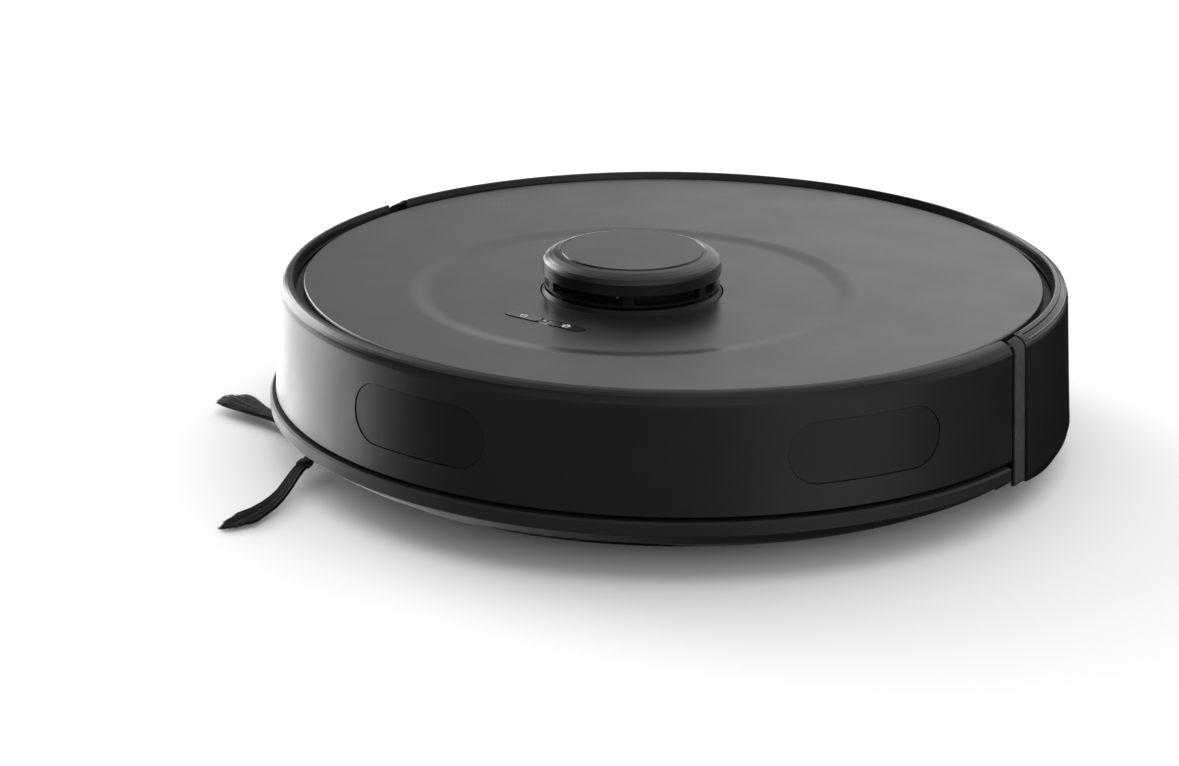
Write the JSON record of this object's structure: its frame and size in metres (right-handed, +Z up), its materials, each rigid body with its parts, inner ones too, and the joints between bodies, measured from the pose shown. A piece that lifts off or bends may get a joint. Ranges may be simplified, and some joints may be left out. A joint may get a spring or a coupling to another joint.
{
  "type": "robot vacuum",
  "caption": "Round robot vacuum cleaner with a range-finder turret, a sliding bumper, a side brush, a roller brush, sprung drive wheels and a lift-out dust bin.",
  "frame": {"origin": "on the vertical axis of the round body, at the height of the floor it stands on", "axes": "+Z up; -Y is the driving direction (the bumper's middle); +X is the robot's left side"},
  "size_m": [0.361, 0.3736, 0.091],
  "materials": {
    "shell_black": "fine satin moulding",
    "lid_satin": "soft satin coat",
    "turret_black": "satin moulding",
    "cap_satin": "soft satin coat",
    "chassis_black": "textured moulding",
    "ir_gloss": "polished, infrared passing",
    "button_black": "polished",
    "light_white": "frosted",
    "spring_steel": "drawn wire",
    "motor_steel": "plated can",
    "screw_steel": "plated",
    "contact_plate": "nickel plated",
    "brass": "turned",
    "belt_rubber": "moulded",
    "brush_rubber": "flexible",
    "bristle_nylon": "fine filaments",
    "roller_rubber": "soft blades",
    "roller_core": "moulded",
    "wheel_grey": "moulded",
    "tyre": "lugged",
    "caster_white": "moulded",
    "battery_wrap": "shrink wrap",
    "board_green": "solder mask",
    "bin_smoke": "smoked",
    "filter_paper": "pleated",
    "lens_red": "polished",
    "nylon_white": "moulded"
  },
  "bodies": {
    "body": {"base_chassis": "chassis_black", "battery_door": "chassis_black", "battery": "battery_wrap", "mid_frame": "chassis_black", "frame_wall": "chassis_black", "rear_housing": "shell_black", "chassis_screws": "screw_steel", "bumper_springs": "spring_steel", "bumper_switches": "chassis_black", "status_light": "light_white", "turret_base": "turret_black", "lidar_plate": "chassis_black", "lidar_motor": "motor_steel", "lidar_belt": "belt_rubber", "side_brush_gearbox": "chassis_black", "roller_bearings": "nylon_white", "roller_belt": "belt_rubber", "roller_motor": "motor_steel", "brush_tunnel": "chassis_black", "brush_cover": "chassis_black", "suspension_springs": "spring_steel", "caster_socket": "chassis_black", "cliff_windows": "ir_gloss", "charge_contacts": "contact_plate", "dock_sensor_window": "ir_gloss", "main_board": "board_green", "fan_housing": "chassis_black"},
    "bumper": {"bumper": "shell_black", "ir_window_front": "ir_gloss", "ir_window_left": "ir_gloss", "ir_window_right": "ir_gloss"},
    "lid": {"top_lid": "lid_satin"},
    "power_button": {"power_button": "button_black"},
    "home_button": {"home_button": "button_black"},
    "turret_cover": {"turret_cage": "turret_black", "turret_cap": "cap_satin"},
    "lidar": {"lidar_rotor": "turret_black", "lidar_lenses": "lens_red"},
    "lidar_drive": {"lidar_motor_pulley": "brass"},
    "side_brush": {"side_brush_hub": "chassis_black", "side_brush_arms": "brush_rubber", "side_brush_bristles": "bristle_nylon"},
    "roller": {"roller_core": "roller_core", "roller_blades": "roller_rubber", "roller_pulley": "brass"},
    "roller_drive": {"roller_motor_pulley": "brass"},
    "suspension_left": {"suspension_arm_left": "wheel_grey", "drive_motor_left": "motor_steel"},
    "suspension_right": {"suspension_arm_right": "wheel_grey", "drive_motor_right": "motor_steel"},
    "wheel_left": {"wheel_rim_left": "wheel_grey", "wheel_tyre_left": "tyre"},
    "wheel_right": {"wheel_rim_right": "wheel_grey", "wheel_tyre_right": "tyre"},
    "caster": {"caster_fork": "wheel_grey"},
    "caster_wheel": {"caster_wheel": "caster_white"},
    "dust_bin": {"dust_bin": "bin_smoke", "dust_bin_lid": "bin_smoke", "dust_filter": "filter_paper"},
    "fan": {"fan_impeller": "turret_black"}
  },
  "joints": [
    {"name": "bumper_press", "type": "slide", "parent": "body", "child": "bumper", "axis": [0, 1, 0], "range_m": [0, 0.0025], "stiffness_N_per_m": 600, "springref_m": -0.003, "deforming": ["bumper_springs"]},
    {"name": "lid_lift", "type": "slide", "parent": "body", "child": "lid", "axis": [0, 0, 1], "range_m": [0, 0.12]},
    {"name": "dust_bin_lift", "type": "slide", "parent": "body", "child": "dust_bin", "axis": [0, 0, 1], "range_m": [0, 0.06]},
    {"name": "power_button_press", "type": "slide", "parent": "body", "child": "power_button", "axis": [0, 0, -1], "range_m": [0, 0.0008], "stiffness_N_per_m": 500, "springref_m": -0.001},
    {"name": "home_button_press", "type": "slide", "parent": "body", "child": "home_button", "axis": [0, 0, -1], "range_m": [0, 0.0008], "stiffness_N_per_m": 500, "springref_m": -0.001},
    {"name": "turret_cover_press", "type": "slide", "parent": "body", "child": "turret_cover", "axis": [0, 0, -1], "range_m": [0, 0.001], "stiffness_N_per_m": 1500, "springref_m": -0.001},
    {"name": "lidar_spin", "type": "hinge", "parent": "body", "child": "lidar", "pos_m": [0, -0.029, 0.07], "axis": [0, 0, 1], "continuous": true},
    {"name": "lidar_motor_spin", "type": "hinge", "parent": "body", "child": "lidar_drive", "pos_m": [0.046, -0.029, 0.064], "axis": [0, 0, 1], "continuous": true},
    {"name": "side_brush_spin", "type": "hinge", "parent": "body", "child": "side_brush", "pos_m": [-0.0936, -0.112, 0.008], "axis": [0, 0, 1], "continuous": true, "deforming": ["side_brush_bristles"]},
    {"name": "roller_spin", "type": "hinge", "parent": "body", "child": "roller", "pos_m": [0, 0.028, 0.021], "axis": [1, 0, 0], "continuous": true},
    {"name": "roller_motor_spin", "type": "hinge", "parent": "body", "child": "roller_drive", "pos_m": [0.0905, 0.028, 0.0565], "axis": [1, 0, 0], "continuous": true},
    {"name": "suspension_left_drop", "type": "hinge", "parent": "body", "child": "suspension_left", "pos_m": [0.0925, -0.048, 0.036], "axis": [-1, 0, 0], "range_deg": [0, 18], "stiffness_Nm_per_rad": 0.4, "springref_deg": 34.38},
    {"name": "suspension_right_drop", "type": "hinge", "parent": "body", "child": "suspension_right", "pos_m": [-0.0925, -0.048, 0.036], "axis": [-1, 0, 0], "range_deg": [0, 18], "stiffness_Nm_per_rad": 0.4, "springref_deg": 34.38},
    {"name": "wheel_left_spin", "type": "hinge", "parent": "suspension_left", "child": "wheel_left", "pos_m": [0.109, 0, 0.032], "axis": [1, 0, 0], "continuous": true},
    {"name": "wheel_right_spin", "type": "hinge", "parent": "suspension_right", "child": "wheel_right", "pos_m": [-0.109, 0, 0.032], "axis": [1, 0, 0], "continuous": true},
    {"name": "caster_swivel", "type": "hinge", "parent": "body", "child": "caster", "pos_m": [0, -0.122, 0.038], "axis": [0, 0, 1], "continuous": true},
    {"name": "caster_roll", "type": "hinge", "parent": "caster", "child": "caster_wheel", "pos_m": [0, -0.116, 0.013], "axis": [1, 0, 0], "continuous": true},
    {"name": "fan_spin", "type": "hinge", "parent": "body", "child": "fan", "pos_m": [0.1, 0.084, 0.04], "axis": [0, 0, 1], "continuous": true}
  ],
  "couplings": [
    {"joint": "dust_bin_lift", "follows": "lid_lift", "ratio": 0.5},
    {"joint": "lidar_motor_spin", "follows": "lidar_spin", "ratio": 6},
    {"joint": "roller_motor_spin", "follows": "roller_spin", "ratio": 2}
  ]
}
